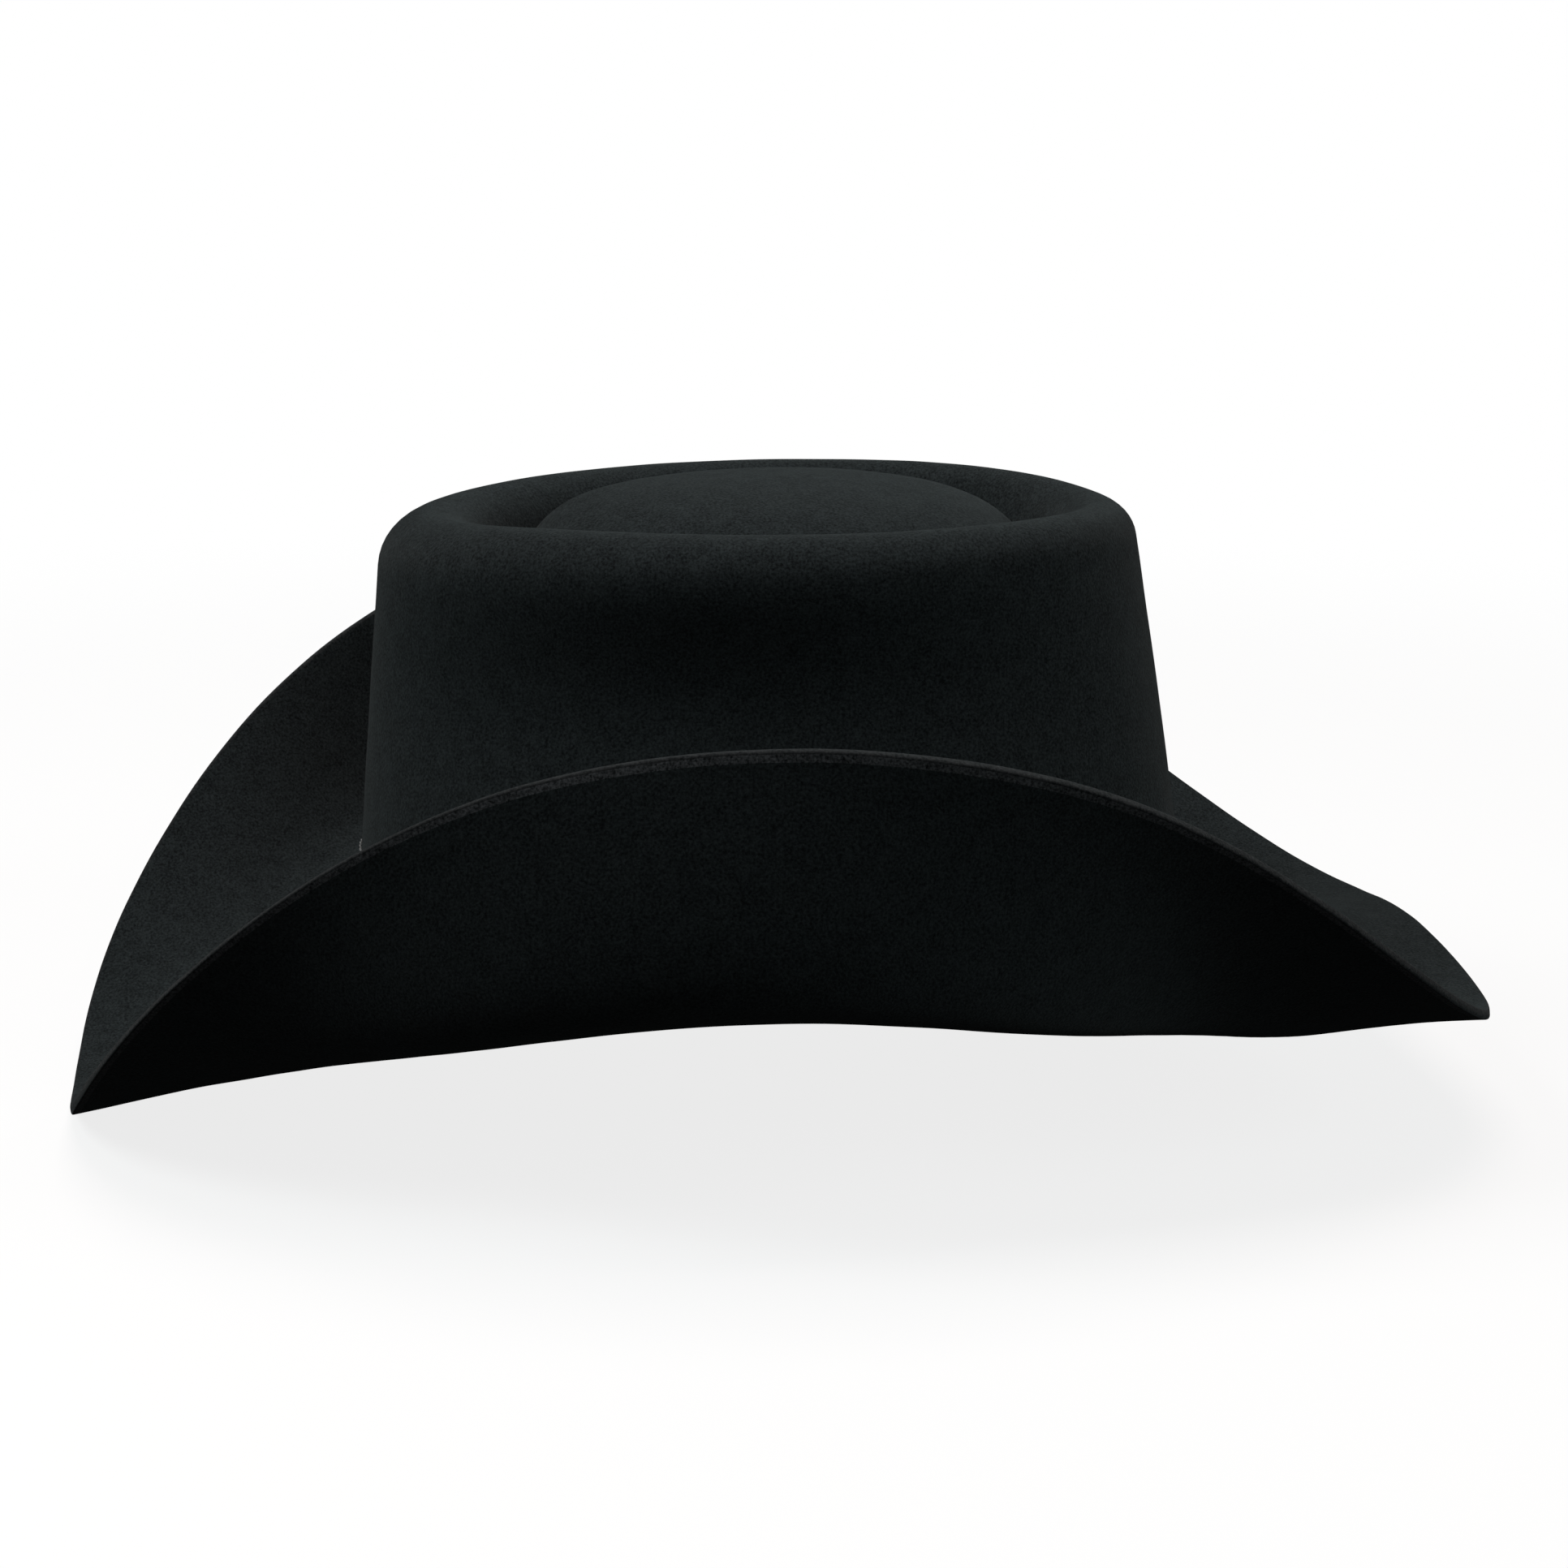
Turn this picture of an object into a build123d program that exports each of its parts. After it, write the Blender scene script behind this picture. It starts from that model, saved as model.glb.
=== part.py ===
"""Western felt hat with a telescope crown and a rolled brim.

The front faces -Y, the wearer's left is +X and +Z is up. The origin is the middle of the head opening,
level with the sides of the break, the line where the crown meets the brim.
Every long piece is a loft of upright sections that stand square to the oval of the break.
In a section, s runs outward from the break and z runs up.
"""

import os
from math import atan, cos, degrees, hypot, pi, radians, sin, tan

from build123d import *

# Head opening, inside the sweatband (size 57)
head_length = 197.0
head_width = 163.0
egg = 0.045                 # the back of the oval is wider than the front by this share each way

# Felt and the layers that line it
felt = 2.6
leather = 1.0
satin = 0.4
layer_gap = 0.3             # between felt and satin, and between satin and leather
fold_gap = 0.05             # between crown and brim along the break

# Crown, above the origin. Stations run from the front round one side to the back.
rim_height = (93.0, 94.5, 96.5, 96.5, 95.5)
wall_lean = (4.5, 5.0, 9.3)     # degrees inward: front, side, back
rim_radius = (14.0, 9.5, 9.5)   # outer radius of the rim roll: front, side, back
break_rise = 7.0                # the break climbs this far from the sides to the front and back
break_radius = 3.0
gutter_depth = 14.0             # below the rim
gutter_half = 5.0               # from the inside of the rim roll to the bottom of the gutter
dome_height = 102.0             # middle of the dome inside the gutter
dome_bow = 300.0                # radius of its ridge from front to back
dome_fullness = 0.93            # share of its width that the top keeps before it falls to the gutter
dome_foot = 3.0                 # rounding at the bottom of the gutter
rim_fall = 55.0                 # degrees that the rim roll turns past its top

# Pinch in each side of the crown
dent_depth = 9.0
dent_angle = 19.0               # forward of the side
dent_sweep = 70.0               # each way along the wall
dent_shape = (0, 0, 0.35, 0.95, 1.9, 0, 0)  # pull of the wall's control points, from the break to the rim

# Brim. Seven stations, 30 degrees apart, from the front round one side to the back.
brim_reach = (71.5, 78.0, 71.0, 67.5, 71.5, 79.0, 66.0)
edge_height = (-49.5, -16.0, 46.0, 63.0, 28.0, -19.0, -17.0)
break_slope = (-30.0, -33.5, 0.0, -45.5, -13.0)   # degrees, five stations
edge_slope = (-11.0, 56.5, 83.5, 19.5, 2.0)         # degrees, five stations
break_pull = (0.70, 0.76)       # share of the chord that keeps the break's slope: front and back, sides
edge_pull = (0.59, 0.71)        # the same for the edge's slope
edge_bulge = 0.7                # rounding of the cut edge

# Sweatband and liner
band_width = 50.0
band_lift = 3.0                 # lower edge of the leather above the break
reed_diameter = 2.4
tape = 0.5                      # cloth round the reed
liner_low = 12.0                # lower edge of the liner above the break
liner_height = 66.0             # seam between the side and the tip of the liner
piping_diameter = 1.8

# Threads of the seam that holds the sweatband: one outside at the break, one inside on the leather
thread = 0.5
thread_gap = 0.1
seam_lift = 2.8                 # above the break outside, above the leather's lower edge inside

# Joint of the sweatband at the back, with its bow, and the size tag on the wearer's left
tab_sweep = 6.4                 # degrees each way from the back
tab_low = 8.0                   # above the break
tab_height = 40.0
tab_thickness = 0.8
bow_height = 20.0               # middle of the bow above the break
bow_loop = 9.0
bow_thickness = 1.4
ribbon = 3.2
tag_angle = 0
tag_sweep = 4.0
tag_low = 22.0
tag_height = 14.0
tag_thickness = 0.2
tag_gap = 0.1

sections = 13                   # from the front to the back

satin_depth = felt + layer_gap
leather_depth = satin_depth + satin + layer_gap
face_depth = leather_depth + leather + layer_gap / 2    # what lies on the leather's face
dome_inset = 1.3            # the dome's underside turns down earlier by this share of the felt
half_length = head_length / 2 + leather_depth + leather
half_width = head_width / 2 + leather_depth + leather
angles = [-90 + 180 * k / (sections - 1) for k in range(sections)]


def around(angle, stations):
    """Smooth even curve through stations spread evenly from the front (-90) to the back (+90)."""
    turns = len(stations) - 1
    nodes = [cos(pi * k / turns) for k in range(turns + 1)]
    here = -sin(radians(angle))
    total = 0
    for k, value in enumerate(stations):
        for other in nodes[:k] + nodes[k + 1:]:
            value *= (here - other) / (nodes[k] - other)
        total += value
    return total


def sideways(angle, pair):
    """Blend from the value at the front and back to the value at the sides."""
    return pair[0] + (pair[1] - pair[0]) * cos(radians(angle)) ** 2


def oval_point(angle):
    """Point of the break oval whose normal has this angle, and its distance in to the middle plane."""
    nx, ny = cos(radians(angle)), sin(radians(angle))
    root = hypot(half_width * nx, half_length * ny)
    y = half_length**2 * ny / root
    spread = 1 + egg * y / half_length
    return half_width**2 * nx * spread / root, y, half_width**2 * spread / root


def section_plane(angle):
    x, y, _ = oval_point(angle)
    nx, ny = cos(radians(angle)), sin(radians(angle))
    return Plane(origin=(x, y, 0), x_dir=(nx, ny, 0), z_dir=(ny, -nx, 0))


def break_height(angle):
    return break_rise * sin(radians(angle)) ** 2


def step(start, direction, length):
    """Point at a length from start, along a direction in degrees."""
    return start[0] + length * cos(radians(direction)), start[1] + length * sin(radians(direction))


def rim_roll(angle):
    """Middle and outer radius of the roll along the top of the crown."""
    lean = radians(around(angle, wall_lean))
    radius = around(angle, rim_radius)
    z = around(angle, rim_height) - radius
    inward = radius * cos(lean) + tan(lean) * (z + radius * sin(lean) - break_height(angle))
    return (-inward, z), radius


def ridge_point(angle, depth):
    """Point of the dome's middle ridge, at a depth under it, and the slope there in degrees."""
    inward = oval_point(angle)[2]
    y = oval_point(angle)[1] - inward * sin(radians(angle))
    slope = degrees(atan(-y / dome_bow * sin(radians(angle))))
    return (-inward, dome_height - y**2 / dome_bow / 2 - depth), slope


def wall_foot(angle, depth):
    """Where the wall runs into the fillet of the break, at a depth under its outside."""
    lean = around(angle, wall_lean)
    turn = around(angle, break_slope) + 90 - lean
    corner = (0, break_height(angle))
    foot = step(corner, 90 + lean, break_radius * tan(radians(turn / 2)))
    return step(foot, 180 + lean, depth), step(foot, lean, break_radius), turn


def wall_pull(angle):
    """How far each control point of the wall is drawn inward by the pinch."""
    away = (angle + dent_angle) / dent_sweep
    pull = dent_depth * max(0, 1 - away**2) ** 2
    return [pull * share for share in dent_shape]


def wall_span(angle):
    """Ends of the wall's curve: where it leaves the fillet of the break, and where the rim roll takes over."""
    middle, radius = rim_roll(angle)
    lean = around(angle, wall_lean)
    return wall_foot(angle, 0)[0], step(middle, lean, radius)


def wall_points(angle):
    """Control points of the outside of the wall, from the fillet of the break up to the rim roll."""
    foot, top = wall_span(angle)
    steps = len(dent_shape) - 1
    shares = [k / steps for k in range(steps + 1)]
    return [(foot[0] + (top[0] - foot[0]) * share - pull, foot[1] + (top[1] - foot[1]) * share)
            for share, pull in zip(shares, wall_pull(angle))]


def wall_stretch(angle, low, high):
    """Control points of the part of the wall's curve between two heights."""
    foot, top = wall_span(angle)
    start, end = ((z - foot[1]) / (top[1] - foot[1]) for z in (low, high))
    wall = wall_points(angle)
    result = []
    for k in range(len(wall)):
        points = wall
        for share in [end] * k + [start] * (len(wall) - 1 - k):
            points = [(a[0] + (b[0] - a[0]) * share, a[1] + (b[1] - a[1]) * share)
                      for a, b in zip(points, points[1:])]
        result.append(points[0])
    return result


def wall_shift(angle, z):
    """How far the outside of the wall stands inward of the break at this height."""
    return -wall_stretch(angle, z, z)[0][0]


def brim_points(angle, depth):
    """Control points of the brim's section from the break out to the edge, at a depth under its top."""
    corner = (0, break_height(angle))
    slope = around(angle, break_slope)
    edge = around(angle, edge_slope)
    turn = wall_foot(angle, 0)[2]
    start = step(corner, slope, break_radius * tan(radians(turn / 2)))
    end = (around(angle, brim_reach), around(angle, edge_height))
    chord = hypot(end[0] - start[0], end[1] - start[1])
    longer = depth * radians(edge - slope) / 3
    first, last = (chord * sideways(angle, pull) + longer for pull in (break_pull, edge_pull))
    start = step(start, slope - 90, depth)
    end = step(end, edge - 90, depth)
    return start, step(start, slope, first), step(end, edge + 180, last), end


def draw_crown(angle, depth):
    """Crown's surface at a depth, from the ridge of the dome over the rim and down to the break."""
    lean = around(angle, wall_lean)
    middle, radius = rim_roll(angle)
    roll = [step(middle, turned, radius - depth) for turned in (90 + rim_fall, 90, lean)]
    trough = radius + gutter_half - middle[0]
    gutter = (-trough, middle[1] + radius - gutter_depth - depth)
    ridge, slope = ridge_point(angle, depth)
    reach = dome_fullness * (gutter[0] - ridge[0]) - dome_inset * depth
    Bezier(ridge, step(ridge, slope, reach), step(gutter, 180, dome_foot + dome_inset * depth), gutter)
    Bezier(gutter, step(gutter, 0, gutter_half), step(roll[0], 180 + rim_fall, gutter_half), roll[0])
    ThreePointArc(*roll)
    foot, top = wall_span(angle)
    wall = [step(point, 180 + lean, depth) for point in wall_stretch(angle, foot[1] + fold_gap, top[1])]
    Bezier(*wall)
    return ridge, wall[0]


def draw_brim(angle, depth):
    """Brim's surface at a depth, from the fillet of the break to the edge."""
    lean = around(angle, wall_lean)
    foot, centre, turn = wall_foot(angle, depth)
    brim = brim_points(angle, depth)
    ThreePointArc(foot, step(centre, 180 + lean + turn / 2, break_radius + depth), brim[0])
    Bezier(*brim)
    return foot, brim[3]


def draw_strip(angle, depth, thickness, low, high):
    """Thin strip that lies along the inside of the wall between two heights above the break."""
    wall = wall_stretch(angle, break_height(angle) + low, break_height(angle) + high)
    outer = [(s - depth, z) for s, z in wall]
    inner = [(s - thickness, z) for s, z in outer]
    Bezier(*outer)
    Bezier(*inner)
    Line(outer[0], inner[0])
    Line(outer[-1], inner[-1])


def reed_centre(angle):
    z = break_height(angle) + band_lift - layer_gap - tape - reed_diameter / 2
    return -wall_shift(angle, z) - felt - layer_gap - tape - reed_diameter / 2, z


with BuildPart() as felt_crown:
    for angle in angles:
        with BuildSketch(section_plane(angle)):
            with BuildLine():
                outside = draw_crown(angle, 0)
                inside = draw_crown(angle, felt)
                for pair in zip(outside, inside):
                    Line(*pair)
            make_face()
    loft()
    mirror(about=Plane.YZ)
felt_crown.part.label = "felt_crown"

with BuildPart() as felt_brim:
    for angle in angles:
        with BuildSketch(section_plane(angle)):
            with BuildLine():
                top_foot, top_edge = draw_brim(angle, 0)
                under_foot, under_edge = draw_brim(angle, felt)
                slope = around(angle, edge_slope)
                bulge = step(step(top_edge, slope - 90, felt / 2), slope, edge_bulge)
                ThreePointArc(top_edge, bulge, under_edge)
                Line(top_foot, under_foot)
            make_face()
    loft()
    mirror(about=Plane.YZ)
felt_brim.part.label = "felt_brim"

with BuildPart() as liner_side:
    for angle in angles:
        with BuildSketch(section_plane(angle)):
            with BuildLine():
                draw_strip(angle, satin_depth, satin, liner_low, liner_height - break_height(angle))
            make_face()
    loft()
    mirror(about=Plane.YZ)
liner_side.part.label = "liner_side"

with BuildPart() as liner_tip:
    with BuildSketch(Plane.XY.offset(liner_height + layer_gap)):
        with BuildLine():
            spots = [(-wall_shift(angle, liner_height) - face_depth, 0, 0) for angle in angles]
            edge = [section_plane(angle).from_local_coords(spot) for angle, spot in zip(angles, spots)]
            outline = [(point.X, point.Y) for point in edge]
            outline += [(-x, y) for x, y in reversed(outline[1:-1])]
            start = sections // 2
            Spline(*outline[start:], *outline[:start], periodic=True)
        make_face()
    extrude(amount=satin)
liner_tip.part.label = "liner_tip"

with BuildPart() as liner_piping:
    for angle in angles:
        z = liner_height - piping_diameter / 2
        s = -wall_shift(angle, z) - leather_depth - piping_diameter / 2
        with BuildSketch(section_plane(angle)):
            with Locations((s, z)):
                Circle(piping_diameter / 2)
    loft()
    mirror(about=Plane.YZ)
liner_piping.part.label = "liner_piping"

with BuildPart() as sweatband:
    for angle in angles:
        with BuildSketch(section_plane(angle)):
            with BuildLine():
                draw_strip(angle, leather_depth, leather, band_lift, band_lift + band_width)
            make_face()
    loft()
    mirror(about=Plane.YZ)
sweatband.part.label = "sweatband"

with BuildPart() as sweatband_reed:
    for angle in angles:
        with BuildSketch(section_plane(angle)):
            with Locations(reed_centre(angle)):
                Circle(reed_diameter / 2)
    loft()
    mirror(about=Plane.YZ)
sweatband_reed.part.label = "sweatband_reed"

with BuildPart() as reed_tape:
    for angle in angles:
        with BuildSketch(section_plane(angle)):
            with Locations(reed_centre(angle)):
                Circle(reed_diameter / 2 + tape)
    loft()
    mirror(about=Plane.YZ)
    add(sweatband_reed.part, mode=Mode.SUBTRACT)
reed_tape.part.label = "reed_tape"

with BuildPart() as seam_thread:
    for angle in angles:
        z = break_height(angle) + seam_lift
        with BuildSketch(section_plane(angle)):
            with Locations((thread_gap + thread / 2 - wall_shift(angle, z), z)):
                RegularPolygon(thread / 2, 6)
    loft()
    mirror(about=Plane.YZ)
seam_thread.part.label = "seam_thread"

with BuildPart() as band_thread:
    for angle in angles:
        z = break_height(angle) + band_lift + seam_lift
        with BuildSketch(section_plane(angle)):
            with Locations((-wall_shift(angle, z) - leather_depth - leather - thread_gap - thread / 2, z)):
                RegularPolygon(thread / 2, 6)
    loft()
    mirror(about=Plane.YZ)
band_thread.part.label = "band_thread"

with BuildPart() as band_tab:
    for angle in (90 - tab_sweep, 90 - tab_sweep / 2, 90):
        with BuildSketch(section_plane(angle)):
            with BuildLine():
                draw_strip(angle, face_depth, tab_thickness, tab_low, tab_low + tab_height)
            make_face()
    loft()
    mirror(about=Plane.YZ)
band_tab.part.label = "band_tab"

with BuildPart() as band_bow:
    z = break_height(90) + bow_height
    sag = oval_point(90)[1] - oval_point(90 - tab_sweep)[1]     # the tab curves in beside the bow's middle
    s = -face_depth - tab_thickness - layer_gap / 2 - sag - wall_shift(90, z)
    lean = around(90, wall_lean)
    spot = section_plane(90).from_local_coords((s, z, 0))
    with BuildSketch(Plane(spot, x_dir=(1, 0, 0), z_dir=(0, -cos(radians(lean)), sin(-radians(lean))))):
        with GridLocations(bow_loop, 0, 2, 1):
            Ellipse(bow_loop / 2, bow_loop / 3)
        with GridLocations(bow_loop * 0.7, 0, 2, 1):
            with Locations((0, -bow_loop / 2)):
                Rectangle(ribbon, bow_loop)
        Rectangle(ribbon, ribbon)
    extrude(amount=bow_thickness)
band_bow.part.label = "band_bow"

with BuildPart() as size_tag:
    for angle in (tag_angle - tag_sweep, tag_angle, tag_angle + tag_sweep):
        with BuildSketch(section_plane(angle)):
            with BuildLine():
                draw_strip(angle, face_depth + tag_gap, tag_thickness, tag_low, tag_low + tag_height)
            make_face()
    loft()
size_tag.part.label = "size_tag"

os.makedirs("parts", exist_ok=True)
pieces = (felt_crown, felt_brim, liner_side, liner_tip, liner_piping, sweatband, sweatband_reed, reed_tape,
          seam_thread, band_thread, band_tab, band_bow, size_tag)
for piece in pieces:
    export_step(piece.part, f"parts/{piece.part.label}.step")
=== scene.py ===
import random
from math import atan, cos, degrees, hypot, pi, radians, sin, tan

import bpy
import numpy as np
from mathutils import Matrix, Vector, noise


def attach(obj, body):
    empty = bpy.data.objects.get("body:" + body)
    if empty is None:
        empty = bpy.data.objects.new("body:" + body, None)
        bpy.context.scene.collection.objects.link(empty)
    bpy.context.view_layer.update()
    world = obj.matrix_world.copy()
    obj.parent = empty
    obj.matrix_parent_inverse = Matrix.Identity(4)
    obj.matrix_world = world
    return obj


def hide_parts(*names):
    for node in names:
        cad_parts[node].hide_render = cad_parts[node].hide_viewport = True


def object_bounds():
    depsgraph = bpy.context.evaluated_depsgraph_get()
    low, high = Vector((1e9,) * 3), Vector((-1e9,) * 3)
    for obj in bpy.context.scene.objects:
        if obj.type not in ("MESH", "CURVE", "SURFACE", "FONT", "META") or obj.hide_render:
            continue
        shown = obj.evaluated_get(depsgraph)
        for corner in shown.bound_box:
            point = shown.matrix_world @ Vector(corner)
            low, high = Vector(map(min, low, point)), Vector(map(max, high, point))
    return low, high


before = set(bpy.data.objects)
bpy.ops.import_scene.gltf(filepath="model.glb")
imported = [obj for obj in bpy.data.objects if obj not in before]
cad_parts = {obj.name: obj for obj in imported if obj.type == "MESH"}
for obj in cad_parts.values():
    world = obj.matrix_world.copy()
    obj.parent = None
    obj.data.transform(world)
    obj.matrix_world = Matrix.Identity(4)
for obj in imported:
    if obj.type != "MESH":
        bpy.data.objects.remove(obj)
cadBox = [list(corner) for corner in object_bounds()]
random.seed(11)
noise.seed_set(1795399252)      # without a seed this noise starts from the clock
mm = 0.001
print("hat: frame loaded")


def linearColour(hexCode):  # sRGB hex to the linear colour that shaders take
    parts = [int(hexCode[k:k + 2], 16) / 255 for k in (1, 3, 5)]
    linear = [part / 12.92 if part <= 0.04045 else ((part + 0.055) / 1.055) ** 2.4 for part in parts]
    return (*linear, 1.0)


def addNode(tree, kind, inputs=None, **settings):  # a node with its settings, values and links
    node = tree.nodes.new(kind)
    for name, value in settings.items():
        setattr(node, name, value)
    for socket, value in (inputs or {}).items():
        if isinstance(value, bpy.types.NodeSocket):
            tree.links.new(value, node.inputs[socket])
        else:
            node.inputs[socket].default_value = value
    return node


def newMaterial(name):
    material = bpy.data.materials.new(name)
    material.use_nodes = True
    material.node_tree.nodes.clear()
    return material, material.node_tree


def addObject(name, data):
    added = bpy.data.objects.new(name, data)
    bpy.context.scene.collection.objects.link(added)
    return added


def newPiece(name, vertices, faces, material):
    mesh = bpy.data.meshes.new(name)
    mesh.from_pydata([tuple(vertex) for vertex in vertices], [], faces)
    mesh.validate()
    mesh.shade_smooth()
    mesh.materials.append(material)
    piece = addObject(name, mesh)
    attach(piece, "root")
    return piece


# A section stands square to the break, the oval where crown and brim meet.
# In it s runs outward and z up. Angle -90 is the front, 0 a side, +90 the back.
# Sizes are in millimetres and degrees. A row of values runs evenly from the front to the back.

head = {"length": 197.0, "width": 163.0, "egg": 0.045}     # inside the sweatband, size 57
layers = {"felt": 2.6, "leather": 1.0, "satin": 0.4, "gap": 0.3}
crown = {
    "rimHeight": (93.0, 94.5, 96.5, 96.5, 95.5),
    "wallLean": (4.5, 5.0, 9.3),    # inward from upright
    "rimRadius": (14.0, 9.5, 9.5),
    "rimFall": 55.0,                # how far the rim rolls on past its top
    "breakRise": 7.0,               # front and back over the sides
    "breakRadius": 3.0,
    "gutterDepth": 14.0,
    "gutterHalf": 5.0,
    "domeHeight": 102.0,
    "domeBow": 300.0,               # radius of the dome's ridge, front to back
    "domeFullness": 0.93,
    "domeFoot": 3.0,
    "domeInset": 1.3,               # its underside turns down earlier by this share of the felt
    "dentDepth": 9.0,
    "dentAngle": 19.0,              # ahead of the side
    "dentSweep": 70.0,
    "dentShape": (0, 0, 0.35, 0.95, 1.9, 0, 0),     # shares of the depth, from the wall's foot to the rim
}
brim = {
    "reach": (71.5, 78.0, 71.0, 67.5, 71.5, 79.0, 66.0),        # out from the break
    "edgeHeight": (-49.5, -16.0, 46.0, 63.0, 28.0, -19.0, -17.0),
    "breakSlope": (-30.0, -33.5, 0.0, -45.5, -13.0),            # up as it goes out
    "edgeSlope": (-11.0, 56.5, 83.5, 19.5, 2.0),
    "breakPull": (0.7, 0.76),       # how long each slope carries on: front and back, then the sides
    "edgePull": (0.59, 0.71),
    "edgeBulge": 0.7,
    "edgeSquare": 3.2,              # how square the cut edge is; 2 is round
    "paintedHighlightFrom": 0.991,            # share of the section where the strip with the painted highlight under the cut edge starts
}
handwork = {"broad": 0.7, "broadSize": 70.0, "small": 0.10, "smallSize": 14.0}  # unevenness of shaping
columns = 180       # sections from the front to the back, on each side
sectionRows = {"dome": 22, "gutter": 10, "roll": 16, "wall": 40, "break": 8, "brim": 40, "edge": 9}

satinDepth = layers["felt"] + layers["gap"]
leatherDepth = satinDepth + layers["satin"] + layers["gap"]
faceDepth = leatherDepth + layers["leather"]
halfLength = head["length"] / 2 + faceDepth
halfWidth = head["width"] / 2 + faceDepth


def around(angle, stations):  # smooth even curve through evenly spread stations
    turns = len(stations) - 1
    nodes = [cos(pi * k / turns) for k in range(turns + 1)]
    here = -sin(radians(angle))
    total = 0
    for k, value in enumerate(stations):
        for other in nodes[:k] + nodes[k + 1:]:
            value *= (here - other) / (nodes[k] - other)
        total += value
    return total


def sideways(angle, pair):  # from the first value at the front and back to the second at the sides
    return pair[0] + (pair[1] - pair[0]) * cos(radians(angle)) ** 2


def ovalPoint(angle):  # point of the break oval, and its distance in to the middle plane
    nx, ny = cos(radians(angle)), sin(radians(angle))
    root = hypot(halfWidth * nx, halfLength * ny)
    y = halfLength**2 * ny / root
    spread = 1 + head["egg"] * y / halfLength
    return halfWidth**2 * nx * spread / root, y, halfWidth**2 * spread / root


def breakHeight(angle):
    return crown["breakRise"] * sin(radians(angle)) ** 2


def step(start, direction, length):  # the point of a section this far on; direction in degrees
    return start[0] + length * cos(radians(direction)), start[1] + length * sin(radians(direction))


def rimRoll(angle):  # centre and radius of the rolled rim
    lean = radians(around(angle, crown["wallLean"]))
    radius = around(angle, crown["rimRadius"])
    z = around(angle, crown["rimHeight"]) - radius
    inward = radius * cos(lean) + tan(lean) * (z + radius * sin(lean) - breakHeight(angle))
    return (-inward, z), radius


def ridgePoint(angle, depth):  # point of the dome's ridge, and the slope there
    inward = ovalPoint(angle)[2]
    y = ovalPoint(angle)[1] - inward * sin(radians(angle))
    slope = degrees(atan(-y / crown["domeBow"] * sin(radians(angle))))
    return (-inward, crown["domeHeight"] - y**2 / crown["domeBow"] / 2 - depth), slope


def wallFoot(angle, depth):  # lowest point of the wall, centre of the bend under it, and its turn
    lean = around(angle, crown["wallLean"])
    turn = around(angle, brim["breakSlope"]) + 90 - lean
    foot = step((0, breakHeight(angle)), 90 + lean, crown["breakRadius"] * tan(radians(turn / 2)))
    return step(foot, 180 + lean, depth), step(foot, lean, crown["breakRadius"]), turn


def wallPoints(angle):  # control points of the wall's outside, from the foot up, with the dent
    middle, radius = rimRoll(angle)
    foot = wallFoot(angle, 0)[0]
    top = step(middle, around(angle, crown["wallLean"]), radius)
    away = (angle + crown["dentAngle"]) / crown["dentSweep"]
    pull = crown["dentDepth"] * max(0, 1 - away**2) ** 2
    last = len(crown["dentShape"]) - 1
    points = []
    for k, share in enumerate(crown["dentShape"]):
        s = foot[0] + (top[0] - foot[0]) * k / last - pull * share
        points.append((s, foot[1] + (top[1] - foot[1]) * k / last))
    return points


def curvePoint(points, share):  # point of the Bezier curve with these control points
    while len(points) > 1:
        pairs = zip(points, points[1:])
        points = [(a[0] + (b[0] - a[0]) * share, a[1] + (b[1] - a[1]) * share) for a, b in pairs]
    return points[0]


def wallInside(angle, z, depth):  # s of a layer that lies this deep under the outside of the wall
    points = wallPoints(angle)
    share = (z - points[0][1]) / (points[-1][1] - points[0][1])
    return curvePoint(points, share)[0] - depth


def brimPoints(angle, depth):  # control points of the brim, from the break to the edge
    slope, edge = around(angle, brim["breakSlope"]), around(angle, brim["edgeSlope"])
    turn = wallFoot(angle, 0)[2]
    start = step((0, breakHeight(angle)), slope, crown["breakRadius"] * tan(radians(turn / 2)))
    end = (around(angle, brim["reach"]), around(angle, brim["edgeHeight"]))
    chord = hypot(end[0] - start[0], end[1] - start[1])
    longer = depth * radians(edge - slope) / 3
    first, last = (chord * sideways(angle, brim[pull]) + longer for pull in ("breakPull", "edgePull"))
    start, end = step(start, slope - 90, depth), step(end, edge - 90, depth)
    return [start, step(start, slope, first), step(end, edge + 180, last), end]


def sampleCurve(points, count):
    return [curvePoint(points, k / count) for k in range(count)]


def sampleArc(centre, radius, first, last, count):
    return [step(centre, first + (last - first) * k / count, radius) for k in range(count)]


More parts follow.
